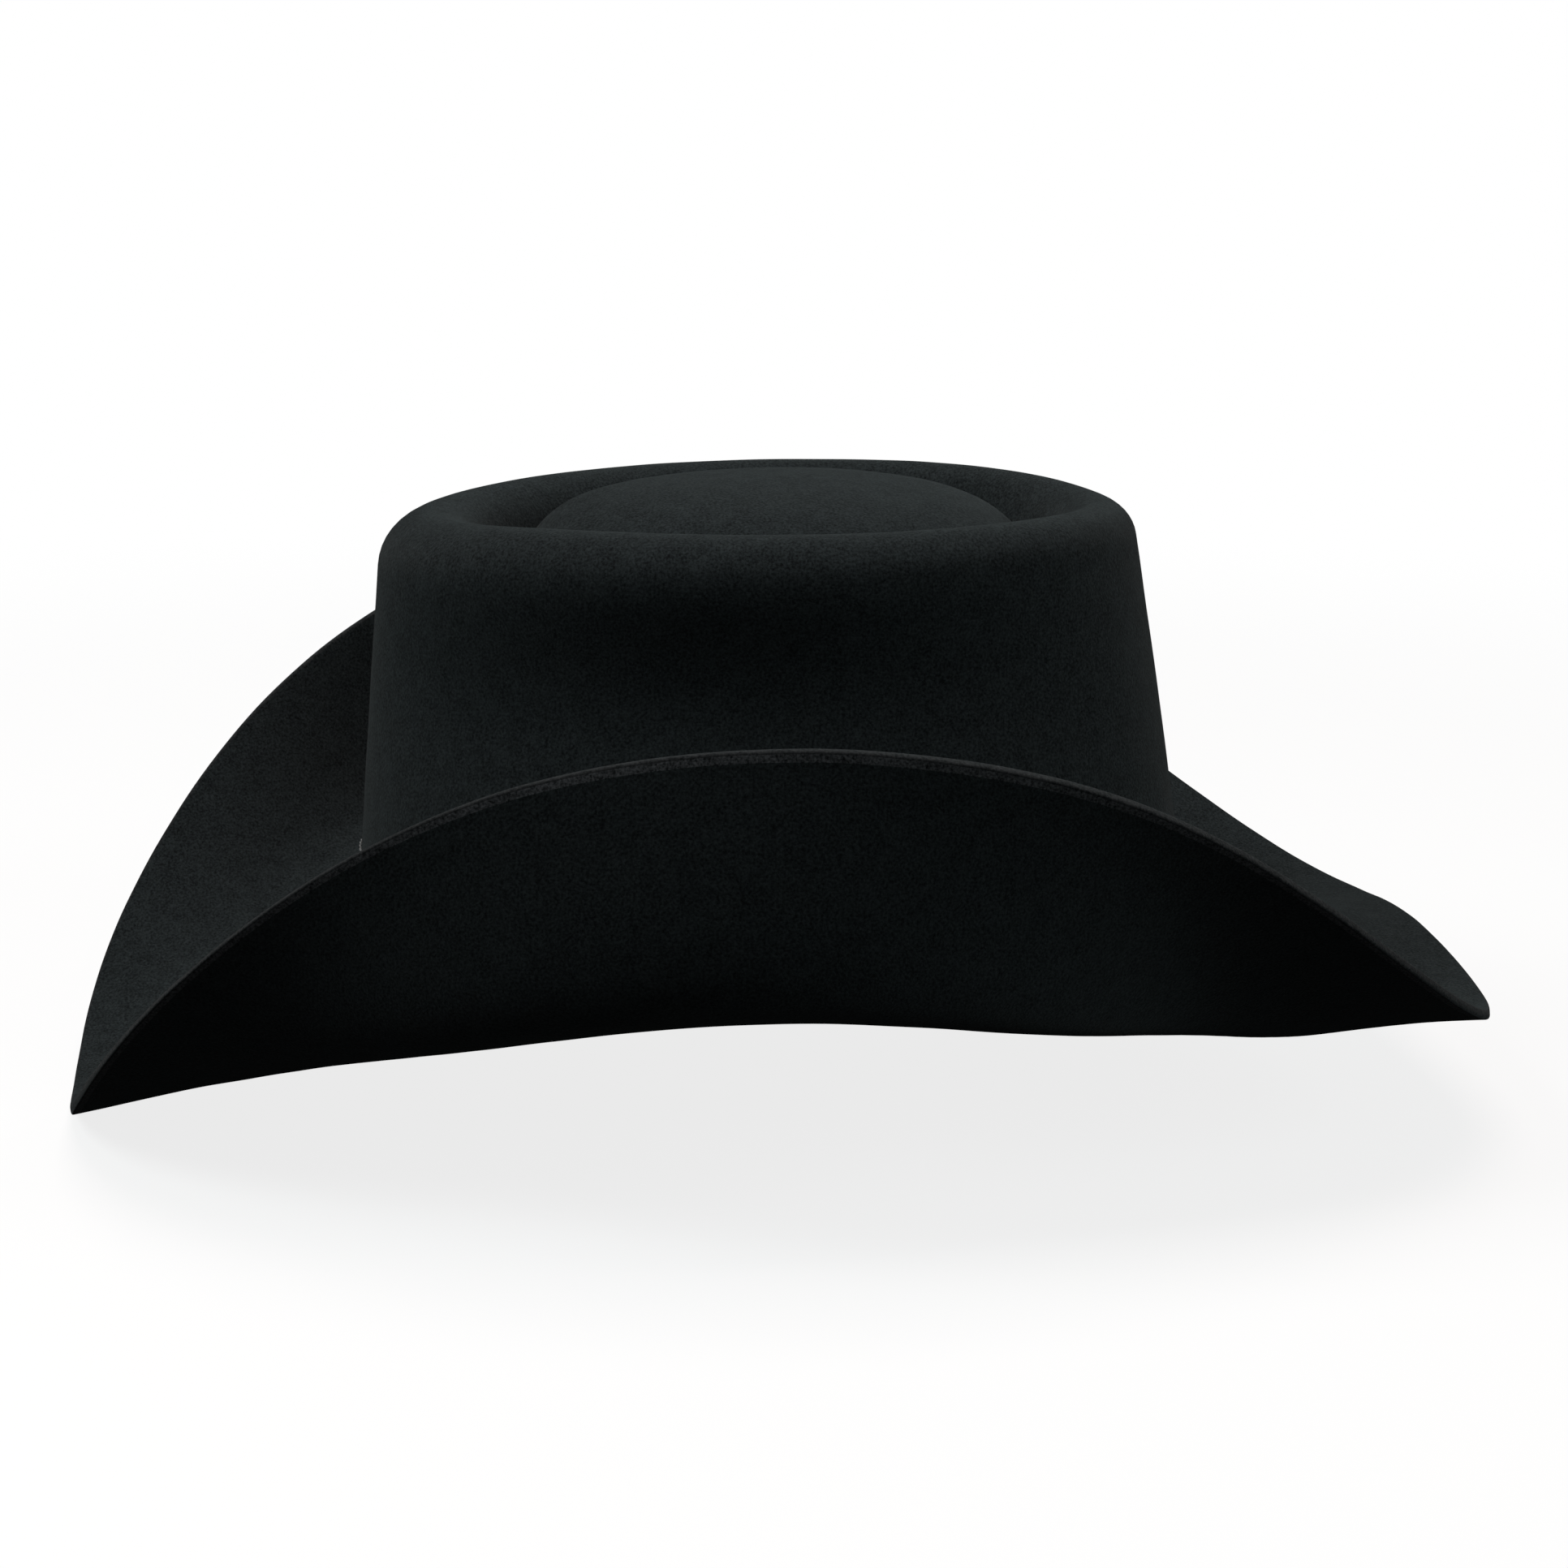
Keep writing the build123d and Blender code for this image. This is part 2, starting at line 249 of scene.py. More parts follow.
def skinSection(angle, depth):  # from the middle plane over the crown and down to the brim's edge
    lean = around(angle, crown["wallLean"])
    middle, radius = rimRoll(angle)
    fall, half = crown["rimFall"], crown["gutterHalf"]
    rollStart = step(middle, 90 + fall, radius - depth)
    trough = radius + half - middle[0]
    gutter = (-trough, middle[1] + radius - crown["gutterDepth"] - depth)
    ridge, slope = ridgePoint(angle, depth)
    inset = crown["domeInset"] * depth
    reach = crown["domeFullness"] * (gutter[0] - ridge[0]) - inset
    centre, turn = wallFoot(angle, depth)[1:]
    dome = [ridge, step(ridge, slope, reach), step(gutter, 180, crown["domeFoot"] + inset), gutter]
    climb = [gutter, step(gutter, 0, half), step(rollStart, 180 + fall, half), rollStart]
    wall = [step(point, 180 + lean, depth) for point in reversed(wallPoints(angle))]
    curl = brimPoints(angle, depth)
    return (sampleCurve(dome, sectionRows["dome"])
            + sampleCurve(climb, sectionRows["gutter"])
            + sampleArc(middle, radius - depth, 90 + fall, lean, sectionRows["roll"])
            + sampleCurve(wall, sectionRows["wall"])
            + sampleArc(centre, crown["breakRadius"] + depth, 180 + lean, 180 + lean + turn,
                        sectionRows["break"])
            + sampleCurve(curl, sectionRows["brim"])
            + [curvePoint(curl, brim["paintedHighlightFrom"]), curl[-1]])


def edgeSection(angle):  # the raw cut edge, from the top side to the underside
    top = brimPoints(angle, 0)[-1]
    slope = around(angle, brim["edgeSlope"])
    power = 2 / brim["edgeSquare"]
    points = []
    for k in range(1, sectionRows["edge"] + 1):
        turned = pi * k / (sectionRows["edge"] + 1)
        across = np.sign(cos(turned)) * abs(cos(turned)) ** power
        point = step(top, slope - 90, layers["felt"] * (1 - across) / 2)
        points.append(step(point, slope, brim["edgeBulge"] * sin(turned) ** power))
    return points


def placeSection(angle, points, side):  # section points in the hat's frame, in millimetres
    x, y, _ = ovalPoint(angle)
    nx, ny = cos(radians(angle)), sin(radians(angle))
    return [(side * (x + s * nx), y + s * ny, z) for s, z in points]


def handShaped(point):  # moves a point as uneven shaping by hand would, and turns it to metres
    shaped = Vector(point)
    shaped += noise.noise_vector(shaped / handwork["broadSize"]) * handwork["broad"]
    shaped += noise.noise_vector(shaped / handwork["smallSize"]) * handwork["small"]
    return shaped * mm


def ringColumns():  # angle and side of each column: front, the wearer's left, back and on round
    spread = [-90 + 180 * k / columns for k in range(columns + 1)]
    return [(angle, 1) for angle in spread] + [(angle, -1) for angle in reversed(spread[1:-1])]


def ringPiece(name, sectionOf, material, shared=False, every=1):
    # joins the sections of every column, or every second one, into a closed ring
    # shared ends meet those of the opposite column on the middle plane
    ring = ringColumns()[::every]
    sections = [placeSection(angle, sectionOf(angle), side) for angle, side in ring]
    rows = len(sections[0])
    vertices, index = [], {}
    for c, points in enumerate(sections):
        for r, point in enumerate(points):
            mirror = (len(ring) - c) % len(ring)
            if shared and r in (0, rows - 1) and mirror < c:
                index[c, r] = index[mirror, r]
            else:
                index[c, r] = len(vertices)
                vertices.append(handShaped(point))
    faces = []
    for c in range(len(ring)):
        beside = (c + 1) % len(ring)
        for r in range(rows - 1 if shared else rows):
            after = (r + 1) % rows
            faces.append((index[c, r], index[c, after], index[beside, after], index[beside, r]))
    return newPiece(name, vertices, faces, material)


feltLook = {
    "nap": "#292e2f",           # tips of the fibres
    "ground": "#0e1011",        # felt between them
    "edge": "#2d2e2f",
    "wearAndPaintedHighlight": "#4c4e50",          # painted highlight: a pale strip of skin under the cut edge, lighter than the nap
    "sheen": "#c9d2d2",
    "clump": 0.65,              # mm, tufts of fibre, drawn coarser than real ones so that they show
    "napRange": (0.42, 0.78),   # where the noise turns from ground to nap
    "mottle": 5.0,              # mm, patches left by the brush
    "mottleShare": 0.2,
    "lint": "#c8c6c0",
    "lintSize": 0.352,          # mm, specks of lint and the pattern that they lie in
    "lintCell": 22.0,
    "lintShare": 0.16,          # of the cells hold one
}


def makeFelt(name, look, tone):
    # wool felt, blocked, sanded and brushed
    # the fine nap breaks the light up, so it stays dull from the front and pales at a glance
    material, tree = newMaterial(name)
    place = addNode(tree, "ShaderNodeTexCoord").outputs["Object"]
    clumps = addNode(tree, "ShaderNodeTexNoise", {
        "Vector": place, "Scale": 1000 / look["clump"], "Detail": 3.0, "Roughness": 0.65})
    patches = addNode(tree, "ShaderNodeTexNoise", {
        "Vector": place, "Scale": 1000 / look["mottle"], "Detail": 3.0})
    faint = addNode(tree, "ShaderNodeMath", {0: patches.outputs["Fac"], 1: look["mottleShare"]},
                    operation="MULTIPLY")
    both = addNode(tree, "ShaderNodeMath", {0: clumps.outputs["Fac"], 1: faint.outputs[0]}, operation="ADD")
    share = addNode(tree, "ShaderNodeMapRange", {
        "Value": both.outputs[0], "From Min": look["napRange"][0], "From Max": look["napRange"][1]})
    napColour = addNode(tree, "ShaderNodeMix", {
        "Factor": share.outputs[0], 6: linearColour(look["ground"]), 7: linearColour(look[tone])},
        data_type="RGBA")
    # a few specks of lint: a dot in the middle of some cells
    cells = addNode(tree, "ShaderNodeTexVoronoi", {"Vector": place, "Scale": 1000 / look["lintCell"]})
    near = addNode(tree, "ShaderNodeMath", {
        0: cells.outputs["Distance"], 1: look["lintSize"] / 2 / look["lintCell"]}, operation="LESS_THAN")
    picked = addNode(tree, "ShaderNodeSeparateColor", {"Color": cells.outputs["Color"]})
    chosen = addNode(tree, "ShaderNodeMath", {0: picked.outputs["Red"], 1: 1 - look["lintShare"]},
                     operation="GREATER_THAN")
    speck = addNode(tree, "ShaderNodeMath", {0: near.outputs[0], 1: chosen.outputs[0]}, operation="MULTIPLY")
    colour = addNode(tree, "ShaderNodeMix", {
        "Factor": speck.outputs[0], 6: napColour.outputs[2], 7: linearColour(look["lint"])},
        data_type="RGBA")
    broad = addNode(tree, "ShaderNodeBump", {
        "Height": patches.outputs["Fac"], "Strength": 0.35, "Distance": 0.4 * mm})
    fine = addNode(tree, "ShaderNodeBump", {
        "Height": clumps.outputs["Fac"], "Strength": 0.8, "Distance": 0.3 * mm,
        "Normal": broad.outputs["Normal"]})
    shader = addNode(tree, "ShaderNodeBsdfPrincipled", {
        "Base Color": colour.outputs[2], "Roughness": 0.92, "Specular IOR Level": 0.0,
        "Sheen Weight": 0.1, "Sheen Roughness": 0.5, "Sheen Tint": linearColour(look["sheen"]),
        "Normal": fine.outputs["Normal"]})
    addNode(tree, "ShaderNodeOutputMaterial", {"Surface": shader.outputs["BSDF"]})
    return material


feltBrushed = makeFelt("woolFeltBrushed", feltLook, "nap")
feltCutEdge = makeFelt("woolFeltCutEdge", feltLook, "edge")     # cut with a knife: the nap is gone
feltPaintedHighlight = makeFelt("woolFeltPaintedHighlight", feltLook, "wearAndPaintedHighlight")         # painted highlight along the cut edge, on the first row of the underside


def feltSection(angle):
    return skinSection(angle, 0) + edgeSection(angle) + skinSection(angle, layers["felt"])[::-1]


feltBody = ringPiece("feltBody", feltSection, feltBrushed, shared=True)
feltBody.data.materials.append(feltCutEdge)
feltBody.data.materials.append(feltPaintedHighlight)
skinRows = len(skinSection(0, 0))
facesPerColumn = 2 * skinRows + sectionRows["edge"] - 1
for face in feltBody.data.polygons:
    row = face.index % facesPerColumn - skinRows
    if -1 <= row < sectionRows["edge"]:
        face.material_index = 1
    elif row == sectionRows["edge"]:    # the first row of the underside, which gets the painted highlight
        face.material_index = 2
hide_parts("felt_crown", "felt_brim")
print("hat: felt body shaped", len(feltBody.data.polygons), "faces")


def stripSection(angle, depth, thickness, low, high, rows, relief=None):
    # closed loop of a strip against the inside of the wall
    # heights count from the break, and relief stands in toward the head
    base = breakHeight(angle)
    heights = [low + (high - low) * k / rows for k in range(rows + 1)]
    backSide, face = [], []
    for height in heights:
        proud = relief(angle, height) if relief else 0
        backSide.append((wallInside(angle, base + height, depth), base + height))
        face.append((wallInside(angle, base + height, depth + thickness + proud), base + height))
    cap = thickness * 0.35      # the two ends are rounded
    top = (backSide[-1][0] / 2 + face[-1][0] / 2, base + high + cap)
    bottom = (backSide[0][0] / 2 + face[0][0] / 2, base + low - cap)
    return backSide + [top] + face[::-1] + [bottom]


def tubeSection(centre, radius, sides):
    return [step(centre, 360 * k / sides, radius) for k in range(sides)]


def wallSpot(turned, height, depth):
    # point on the inside of the wall, in metres; turned runs from the front (-90) past the back (+90) and on
    angle, side = (turned, 1) if turned <= 90 else (180 - turned, -1)
    z = breakHeight(angle) + height
    return handShaped(placeSection(angle, [(wallInside(angle, z, depth), z)], side)[0])


def patchPiece(name, turnedRange, low, high, depth, thickness, corner, material, across=16, along=20):
    # thin plate that follows the inside of the wall, with rounded corners
    sweep = turnedRange[1] - turnedRange[0]
    halfWide = radians(sweep) / 2 * halfWidth**2 / halfLength
    vertices, faces = [], []
    for layer in (0, 1):
        for a in range(across + 1):
            offset = 2 * a / across - 1
            past = max(0, (abs(offset) * halfWide - (halfWide - corner)) / corner)
            cut = corner * (1 - (1 - past**2) ** 0.5)
            turned = turnedRange[0] + sweep * (offset + 1) / 2
            for k in range(along + 1):
                soften = 0.3 * thickness if a in (0, across) or k in (0, along) else 0      # eased rim
                height = low + cut + (high - low - 2 * cut) * (k / along)
                lift = soften if layer == 0 else thickness - soften
                vertices.append(wallSpot(turned, height, depth + lift))
    size = (across + 1) * (along + 1)
    for a in range(across):
        for k in range(along):
            first = a * (along + 1) + k
            quad = (first, first + 1, first + along + 2, first + along + 1)
            faces.append(quad)
            faces.append(tuple(size + number for number in reversed(quad)))
    rim = ([a * (along + 1) for a in range(across + 1)]
           + [across * (along + 1) + k for k in range(1, along + 1)]
           + [a * (along + 1) + along for a in range(across - 1, -1, -1)]
           + [k for k in range(along - 1, 0, -1)])
    for here, beside in zip(rim, rim[1:] + rim[:1]):
        faces.append((here, beside, size + beside, size + here))
    return newPiece(name, vertices, faces, material)


def joinRings(faces, start, rings, sides):  # closed tube over rings of vertices, with a flat cap at each end
    for k in range(start, start + (rings - 1) * sides, sides):
        for n in range(sides):
            m = (n + 1) % sides
            faces.append((k + n, k + m, k + sides + m, k + sides + n))
    faces.append(tuple(start + n for n in reversed(range(sides))))
    faces.append(tuple(start + (rings - 1) * sides + n for n in range(sides)))


stitchShape = {
    "rings": 7, "sides": 8,
    "tip": 0.25, "round": 0.06,     # how thin its ends get, and how far the rounding is cut off there
    "arch": 0.5,                    # how far it stands out in the middle, in thread thicknesses
}


def stitchRow(name, spots, thickness, material):
    # short rounded threads that arch out of the surface; a spot is two points and the way out
    vertices, faces = [], []
    rings, sides = stitchShape["rings"], stitchShape["sides"]
    for first, last, outward in spots:
        along = last - first
        sidewise = along.cross(outward).normalized()
        outward = sidewise.cross(along).normalized()
        start = len(vertices)
        for k in range(rings):
            t = k / (rings - 1)
            inset = stitchShape["round"] + (1 - 2 * stitchShape["round"]) * t
            swell = max(stitchShape["tip"], sin(pi * inset) ** 0.5)
            lift = outward * thickness * stitchShape["arch"] * sin(pi * t)
            for n in range(sides):
                turned = 2 * pi * n / sides
                out = (sidewise * cos(turned) + outward * sin(turned)) * thickness / 2 * swell
                vertices.append(first + along * t + lift + out)
        joinRings(faces, start, rings, sides)
    return newPiece(name, vertices, faces, material)


def makeCloth(name, colour, spacing, roughness, sheen, satin=False):
    # woven cloth: warp and weft shade the surface in a fine grid
    # satin's long floats run one way and shine
    # the thread spacings are drawn coarser than real ones so that they show
    material, tree = newMaterial(name)
    place = addNode(tree, "ShaderNodeTexCoord").outputs["Object"]
    waveRate = 20 if satin else 10      # radians that a wave turns per unit, along an axis or a diagonal
    warp = addNode(tree, "ShaderNodeTexWave", {
        "Vector": place, "Scale": 2 * pi * 1000 / spacing / waveRate, "Distortion": 0.3},
        bands_direction="Z" if satin else "DIAGONAL")
    crinkleSize = 9.0       # mm
    crinkle = addNode(tree, "ShaderNodeTexNoise", {
        "Vector": place, "Scale": 1000 / crinkleSize, "Detail": 3.0})
    shade = addNode(tree, "ShaderNodeMapRange", {
        "Value": warp.outputs["Fac"], "To Min": 0.75, "To Max": 1.15})
    coloured = addNode(tree, "ShaderNodeHueSaturation", {
        "Color": linearColour(colour), "Value": shade.outputs[0]})
    broad = addNode(tree, "ShaderNodeBump", {
        "Height": crinkle.outputs["Fac"], "Strength": 0.5, "Distance": 0.8 * mm})
    fine = addNode(tree, "ShaderNodeBump", {
        "Height": warp.outputs["Fac"], "Strength": 0.4, "Distance": 0.1 * mm,
        "Normal": broad.outputs["Normal"]})
    shader = addNode(tree, "ShaderNodeBsdfPrincipled", {
        "Base Color": coloured.outputs["Color"], "Roughness": roughness, "Sheen Weight": sheen,
        "Sheen Roughness": 0.4, "Normal": fine.outputs["Normal"]})
    addNode(tree, "ShaderNodeOutputMaterial", {"Surface": shader.outputs["BSDF"]})
    return material


def makeLeather(name, colour, pore, depth):
    # sheepskin roan, dyed through and rolled smooth
    # it has a low sheen, with pores and fine creases that catch the light
    material, tree = newMaterial(name)
    place = addNode(tree, "ShaderNodeTexCoord").outputs["Object"]
    pores = addNode(tree, "ShaderNodeTexVoronoi", {"Vector": place, "Scale": 1000 / pore},
                    feature="DISTANCE_TO_EDGE")
    wornSize = 12.0         # mm
    wearAndPaintedHighlight = addNode(tree, "ShaderNodeTexNoise", {"Vector": place, "Scale": 1000 / wornSize, "Detail": 4.0})
    shade = addNode(tree, "ShaderNodeMapRange", {
        "Value": wearAndPaintedHighlight.outputs["Fac"], "To Min": 0.8, "To Max": 1.25})
    coloured = addNode(tree, "ShaderNodeHueSaturation", {
        "Color": linearColour(colour), "Value": shade.outputs[0]})
    gloss = addNode(tree, "ShaderNodeMapRange", {
        "Value": wearAndPaintedHighlight.outputs["Fac"], "To Min": 0.42, "To Max": 0.58})
    relief = addNode(tree, "ShaderNodeBump", {
        "Height": pores.outputs["Distance"], "Strength": 0.5, "Distance": depth})
    shader = addNode(tree, "ShaderNodeBsdfPrincipled", {
        "Base Color": coloured.outputs["Color"], "Roughness": gloss.outputs[0], "IOR": 1.5,
        "Normal": relief.outputs["Normal"]})
    addNode(tree, "ShaderNodeOutputMaterial", {"Surface": shader.outputs["BSDF"]})
    return material


band = {
    "low": 3.0, "width": 50.0,      # above the break, and height
    "rows": 64,
    "line": 46.5,                   # pressed line near the top edge
    "lineDepth": 0.18, "lineHalf": 0.8,
    "shaved": 0.35, "shavedReach": 1.5,     # the top edge is shaved thinner
    "leather": "#302a27", "pore": 1.1, "poreDepth": 0.12 * mm,
    "reed": 2.4, "tape": 0.5,       # diameter of the reed, and thickness of its tape
    "tapeColour": "#242426", "reedColour": "#c9c4b4",
}
roanLeather = makeLeather("roanLeatherRolled", band["leather"], band["pore"], band["poreDepth"])
cottonTape = makeCloth("cottonTapeWoven", band["tapeColour"], spacing=0.7, roughness=0.85, sheen=0.2)
# extruded plastic has the leather's waxy sheen, and faint waves in place of pores
polyReed = makeLeather("polyReedExtruded", band["reedColour"], pore=3.0, depth=0.02 * mm)


def bandRelief(angle, height):
    fromLine = abs(height - band["low"] - band["line"])
    fromTop = band["low"] + band["width"] - height
    pressed = band["lineDepth"] * max(0, 1 - fromLine / band["lineHalf"])
    shaved = band["shaved"] * max(0, 1 - fromTop / band["shavedReach"])
    return -pressed - shaved


def bandSection(angle):
    return stripSection(angle, leatherDepth, layers["leather"], band["low"], band["low"] + band["width"],
                        band["rows"], bandRelief)


def reedSection(radius, sides):  # sections of a tube that hangs under the sweatband
    def section(angle):
        outer = band["tape"] + band["reed"] / 2
        z = breakHeight(angle) + band["low"] - layers["gap"] - outer
        return tubeSection((wallInside(angle, z, layers["felt"] + layers["gap"] + outer), z), radius, sides)
    return section


sweatBand = ringPiece("sweatBand", bandSection, roanLeather, every=2)
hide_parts("sweatband")
reedCore = ringPiece("reedCore", reedSection(band["reed"] / 2, sides=10), polyReed, every=2)
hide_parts("sweatband_reed")
reedTape = ringPiece("reedTape", reedSection(band["reed"] / 2 + band["tape"], sides=18), cottonTape)
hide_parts("reed_tape")
print("hat: sweatband and reed made")


liner = {
    "low": 12.0, "seam": 66.0,      # above the break, and above the origin
    "rows": 14,
    "measured": 30.0,               # height above the break of a line of points traced round the liner
    "rise": 1.6,                    # the tip bows up
    "pucker": 0.12,                 # gathers at the seam
    "puckerPace": 2.2, "puckerDrift": 0.7, "puckerSwing": 1.5, "puckerFade": 6,
    "piping": 1.8,
    "satin": "#202126", "cord": "#1c1c20",
}
acetateSatin = makeCloth("acetateSatinWoven", liner["satin"], spacing=0.5, roughness=0.38, sheen=0.15,
                         satin=True)
pipingCord = makeCloth("cordedPiping", liner["cord"], spacing=0.8, roughness=0.6, sheen=0.2)


def linerSection(angle):
    return stripSection(angle, satinDepth, layers["satin"], liner["low"],
                        liner["seam"] - breakHeight(angle), liner["rows"])


linerSide = ringPiece("linerSide", linerSection, acetateSatin, every=2)
linerLine = [wallSpot(turned, liner["measured"], satinDepth) for turned in np.arange(-90, 271, 3.0)]
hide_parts("liner_side")


def makeLinerTip():
    # satin oval gathered into the seam: bows up in the middle, with small puckers that fade inward
    edge = []
    for angle, side in ringColumns()[::2]:
        s = wallInside(angle, liner["seam"], faceDepth + layers["gap"] / 2)
        edge.append(placeSection(angle, [(s, 0)], side)[0][:2])
    rings, count = 16, len(edge)
    vertices = []
    for lift in (0, layers["satin"]):
        for r in range(rings):
            out = 1 - r / rings
            for c, (x, y) in enumerate(edge):
                beat = c * liner["puckerPace"] + liner["puckerSwing"] * sin(c * liner["puckerDrift"])
                pucker = liner["pucker"] * sin(beat) * out ** liner["puckerFade"]
                z = liner["seam"] + layers["gap"] + lift + liner["rise"] * (1 - out**2) + pucker
                vertices.append(handShaped((x * out, y * out, z)))
        vertices.append(handShaped((0, 0, liner["seam"] + layers["gap"] + lift + liner["rise"])))
    layer = rings * count + 1
    faces = []
    for base, flip in ((0, False), (layer, True)):
        for c in range(count):
            beside = (c + 1) % count
            for r in range(rings - 1):
                outer, inner = base + r * count, base + (r + 1) * count
                quad = (outer + c, inner + c, inner + beside, outer + beside)
                faces.append(quad[::-1] if flip else quad)
            inner = base + (rings - 1) * count
            last = (inner + c, base + layer - 1, inner + beside)
            faces.append(last[::-1] if flip else last)
    for c in range(count):
        beside = (c + 1) % count
        faces.append((c, beside, layer + beside, layer + c))
    return newPiece("linerTip", vertices, faces, acetateSatin)


linerTip = makeLinerTip()
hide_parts("liner_tip")


def pipingSection(angle):
    radius = liner["piping"] / 2
    z = liner["seam"] - radius
    return tubeSection((wallInside(angle, z, leatherDepth + radius), z), radius, sides=14)


linerPiping = ringPiece("linerPiping", pipingSection, pipingCord)
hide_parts("liner_piping")
print("hat: liner made")


seam = {
    "outsideLift": 2.8, "insideLift": 5.8,      # above the break
    "outsideDepth": -0.1, "insideProud": 0.12,  # from the felt's outside, and off the leather's face
    "pitch": 3.4, "stitch": 2.5, "wander": 0.12,
    "thread": 0.5, "outside": "#4a4b4a", "inside": "#3a3735",
}


def seamSpots(lift, depth, inside):  # where each stitch starts and ends
    line = [wallSpot(turned, lift, depth) for turned in np.arange(-90, 270, 0.5)]
    line.append(line[0])
    gone, wanted, spots = 0.0, 0.0, []
    for here, after in zip(line, line[1:]):
        run = (after - here).length / mm
        while wanted < gone + run:
            start = here.lerp(after, (wanted - gone) / run)
            along = (after - here).normalized()
            outward = Vector((start.x, start.y, 0)).normalized() * (-1 if inside else 1)
            tilt = Vector((0, 0, random.uniform(-seam["wander"], seam["wander"]) * mm))
            spots.append((start + tilt, start + along * seam["stitch"] * mm - tilt, outward))
            wanted += seam["pitch"]
        gone += run
    return spots


# twisted polyester thread: the turns of the twist show as short slanting glints
waxedThread = makeCloth("polyThreadTwisted", seam["outside"], spacing=0.3, roughness=0.6, sheen=0.2)
bandThread = makeCloth("polyThreadTwistedDark", seam["inside"], spacing=0.3, roughness=0.6, sheen=0.2)
seamStitches = stitchRow("seamStitches", seamSpots(seam["outsideLift"], seam["outsideDepth"], False),
                         seam["thread"] * mm, waxedThread)
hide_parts("seam_thread")
bandStitches = stitchRow("bandStitches", seamSpots(seam["insideLift"], faceDepth + seam["insideProud"], True),
                         seam["thread"] * mm, bandThread)
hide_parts("band_thread")
print("hat: stitches made")


tab = {
    "sweep": 6.4,                   # degrees each way from the back
    "low": 8.0, "high": 48.0, "thickness": 0.8, "corner": 2.0,
    "stitchEdge": 0.78,             # share of the half width where its stitches run
    "stitchLow": 2.5, "stitchHigh": 4.0, "stitch": 2.0, "pitch": 2.9, "proud": 0.05, "thread": 0.4,
}
tabDepth = faceDepth + layers["gap"] / 2
tabFace = tabDepth + tab["thickness"]
bandTab = patchPiece("bandTab", (90 - tab["sweep"], 90 + tab["sweep"]), tab["low"], tab["high"], tabDepth,
                     tab["thickness"], tab["corner"], roanLeather)
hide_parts("band_tab")

tabStitches = []
for edge in (-tab["stitchEdge"], tab["stitchEdge"]):
    turned = 90 + edge * tab["sweep"]
    height = tab["low"] + tab["stitchLow"]
    while height < tab["high"] - tab["stitchHigh"]:
        ends = [wallSpot(turned, spot, tabFace + tab["proud"]) for spot in (height, height + tab["stitch"])]
        tabStitches.append((*ends, Vector((0, -1, 0))))     # toward the head
        height += tab["pitch"]
tabSeam = stitchRow("tabStitches", tabStitches, tab["thread"] * mm, bandThread)


bow = {
    "height": 20.0,                     # of the knot above the break
    "ribbon": 3.2, "thickness": 0.3, "colour": "#202024",
    "gathered": 0.45,                   # share of the ribbon's width that comes out of the knot
    "loopStart": 0.6, "loopReach": 8.2, "loopRise": 1.1, "loopLift": 0.55,
    "loopPuff": 0.5, "loopPinch": 0.4, "loopSpread": 1.6, "loopSteps": 24,
    "tailStart": (0.4, -0.6), "tail": (5.2, -5.4), "tailLift": 0.35, "tailWave": 0.25,
    "tailWidth": 0.85, "tailSpread": 1.2, "tailSteps": 12,
    "knot": 1.15, "knotHigh": 0.62, "knotWidth": 0.72, "knotSteps": 16,
}
satinRibbon = makeCloth("satinRibbonWoven", bow["colour"], spacing=0.35, roughness=0.4, sheen=0.2,
                        satin=True)


